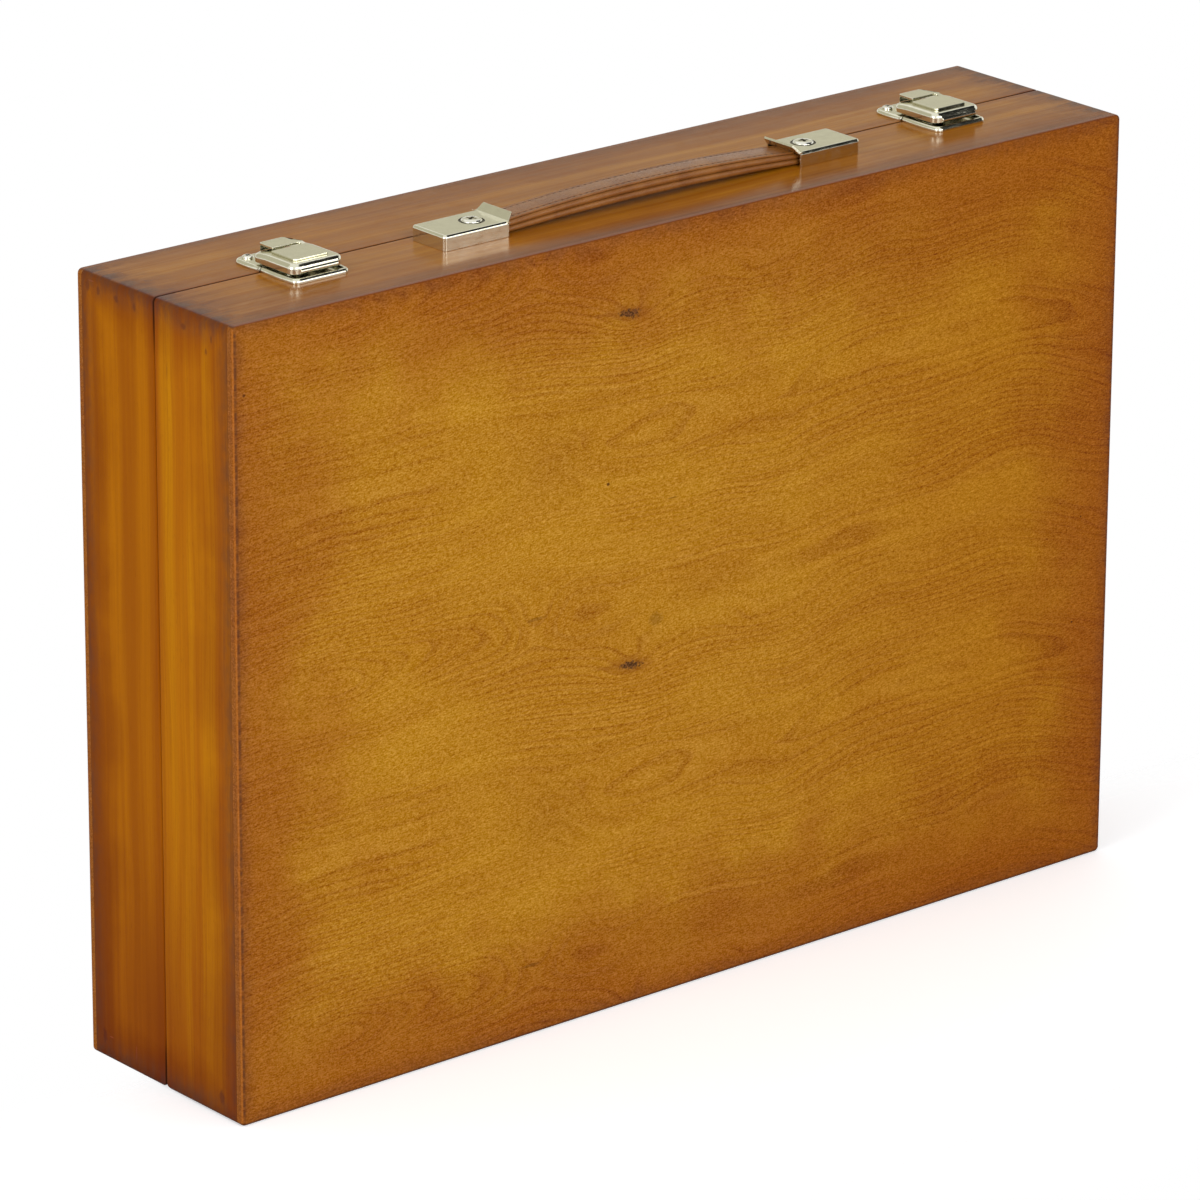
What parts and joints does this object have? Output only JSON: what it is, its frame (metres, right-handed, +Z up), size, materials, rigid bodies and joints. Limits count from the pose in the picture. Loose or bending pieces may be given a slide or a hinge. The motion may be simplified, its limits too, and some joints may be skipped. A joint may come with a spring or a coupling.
{
  "type": "wooden art set case",
  "caption": "Briefcase-shaped wooden box of two hinged finger-jointed shells with a strap handle, lever latches and inner dividers.",
  "frame": {"origin": "centre of the bottom, on the surface that the case stands on", "axes": "+Z up, -Y towards the front face with the handle's half, +X to the right seen from the front"},
  "size_m": [0.43, 0.092, 0.3138],
  "materials": {
    "frame_wood": "honey stain, satin lacquer, darker at the edges",
    "panel_veneer": "figured veneer, honey stain, satin lacquer",
    "plain_wood": "bare light wood",
    "strap_leather": "brown, semi-gloss",
    "spring_steel": "dull spring steel",
    "screw_steel": "nickel plated",
    "hinge_nickel": "nickel plated",
    "nickel": "polished nickel plate with a warm tint"
  },
  "bodies": {
    "base": {"base_bottom_rail": "frame_wood", "base_left_board": "frame_wood", "base_panel": "panel_veneer", "base_right_board": "frame_wood", "base_top_rail": "frame_wood", "divider_left": "plain_wood", "divider_long": "plain_wood", "divider_right": "plain_wood", "handle_band": "spring_steel", "handle_cap_left": "nickel", "handle_cap_right": "nickel", "handle_screws": "screw_steel", "handle_strap": "strap_leather", "hinge_leaf_base_left": "hinge_nickel", "hinge_leaf_base_right": "hinge_nickel", "hinge_pin_left": "hinge_nickel", "hinge_pin_right": "hinge_nickel", "hinge_screws_base": "screw_steel", "latch_base_left": "nickel", "latch_base_pin_left": "nickel", "latch_base_pin_right": "nickel", "latch_base_right": "nickel", "latch_base_screws": "screw_steel"},
    "lid": {"hinge_leaf_lid_left": "hinge_nickel", "hinge_leaf_lid_right": "hinge_nickel", "hinge_screws_lid": "screw_steel", "keeper_screws": "screw_steel", "latch_keeper_left": "nickel", "latch_keeper_right": "nickel", "lid_bottom_rail": "frame_wood", "lid_left_board": "frame_wood", "lid_panel": "panel_veneer", "lid_right_board": "frame_wood", "lid_top_rail": "frame_wood"},
    "latch_link_left": {"latch_link_left": "nickel"},
    "latch_cover_left": {"latch_cover_left": "nickel", "latch_cover_pin_left": "nickel", "latch_hook_left": "nickel"},
    "latch_link_right": {"latch_link_right": "nickel"},
    "latch_cover_right": {"latch_cover_pin_right": "nickel", "latch_cover_right": "nickel", "latch_hook_right": "nickel"}
  },
  "joints": [
    {"name": "lid_hinge", "type": "hinge", "parent": "base", "child": "lid", "pos_m": [0, 0, 0.0019], "axis": [-1, 0, 0], "range_deg": [0, 110]},
    {"name": "latch_link_left", "type": "hinge", "parent": "base", "child": "latch_link_left", "pos_m": [-0.155, -0.0034, 0.3084], "axis": [-1, 0, 0], "range_deg": [0, 85]},
    {"name": "latch_cover_left", "type": "hinge", "parent": "latch_link_left", "child": "latch_cover_left", "pos_m": [-0.155, -0.0139, 0.3086], "axis": [1, 0, 0], "range_deg": [0, 153]},
    {"name": "latch_link_right", "type": "hinge", "parent": "base", "child": "latch_link_right", "pos_m": [0.155, -0.0034, 0.3084], "axis": [-1, 0, 0], "range_deg": [0, 85]},
    {"name": "latch_cover_right", "type": "hinge", "parent": "latch_link_right", "child": "latch_cover_right", "pos_m": [0.155, -0.0139, 0.3086], "axis": [1, 0, 0], "range_deg": [0, 153]}
  ],
  "couplings": [
    {"joint": "latch_cover_left", "follows": "latch_link_left", "ratio": 1.8},
    {"joint": "latch_cover_right", "follows": "latch_link_right", "ratio": 1.8}
  ]
}
